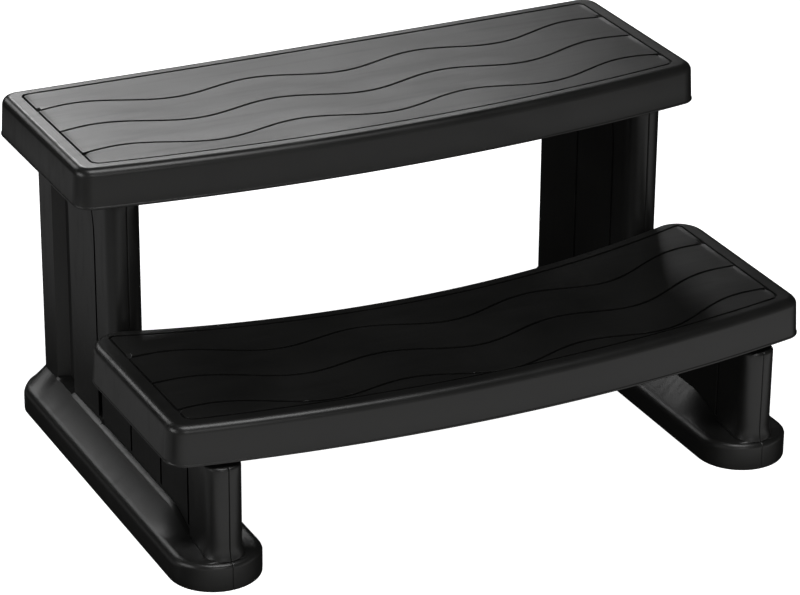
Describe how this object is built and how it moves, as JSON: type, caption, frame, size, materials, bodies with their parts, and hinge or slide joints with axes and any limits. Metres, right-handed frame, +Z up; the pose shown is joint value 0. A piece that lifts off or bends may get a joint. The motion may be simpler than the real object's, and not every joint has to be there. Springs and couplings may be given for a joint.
{
  "type": "spa steps",
  "caption": "Free-standing spa steps: wide bowed treads with wavy grip grooves on hollow side panels with runner feet, for climbing into a spa.",
  "frame": {"origin": "centre of the footprint's bounding box, on the ground under the feet", "axes": "+X to the right seen from the front, along the treads; +Y to the back, towards the spa; +Z up"},
  "size_m": [0.8, 0.5714, 0.401],
  "materials": {
    "tread_plastic": "black, satin to semi-gloss, finely grained mould surface",
    "panel_plastic": "black, semi-gloss, blow-moulded surface",
    "screw_steel": "stainless steel"
  },
  "bodies": {
    "root": {"upper_tread": "tread_plastic", "lower_tread": "tread_plastic", "left_outer_shell": "panel_plastic", "left_inner_shell": "panel_plastic", "right_outer_shell": "panel_plastic", "right_inner_shell": "panel_plastic", "left_shell_screws": "screw_steel", "right_shell_screws": "screw_steel", "upper_tread_left_screws": "screw_steel", "upper_tread_right_screws": "screw_steel", "lower_tread_left_screws": "screw_steel", "lower_tread_right_screws": "screw_steel"}
  },
  "joints": []
}
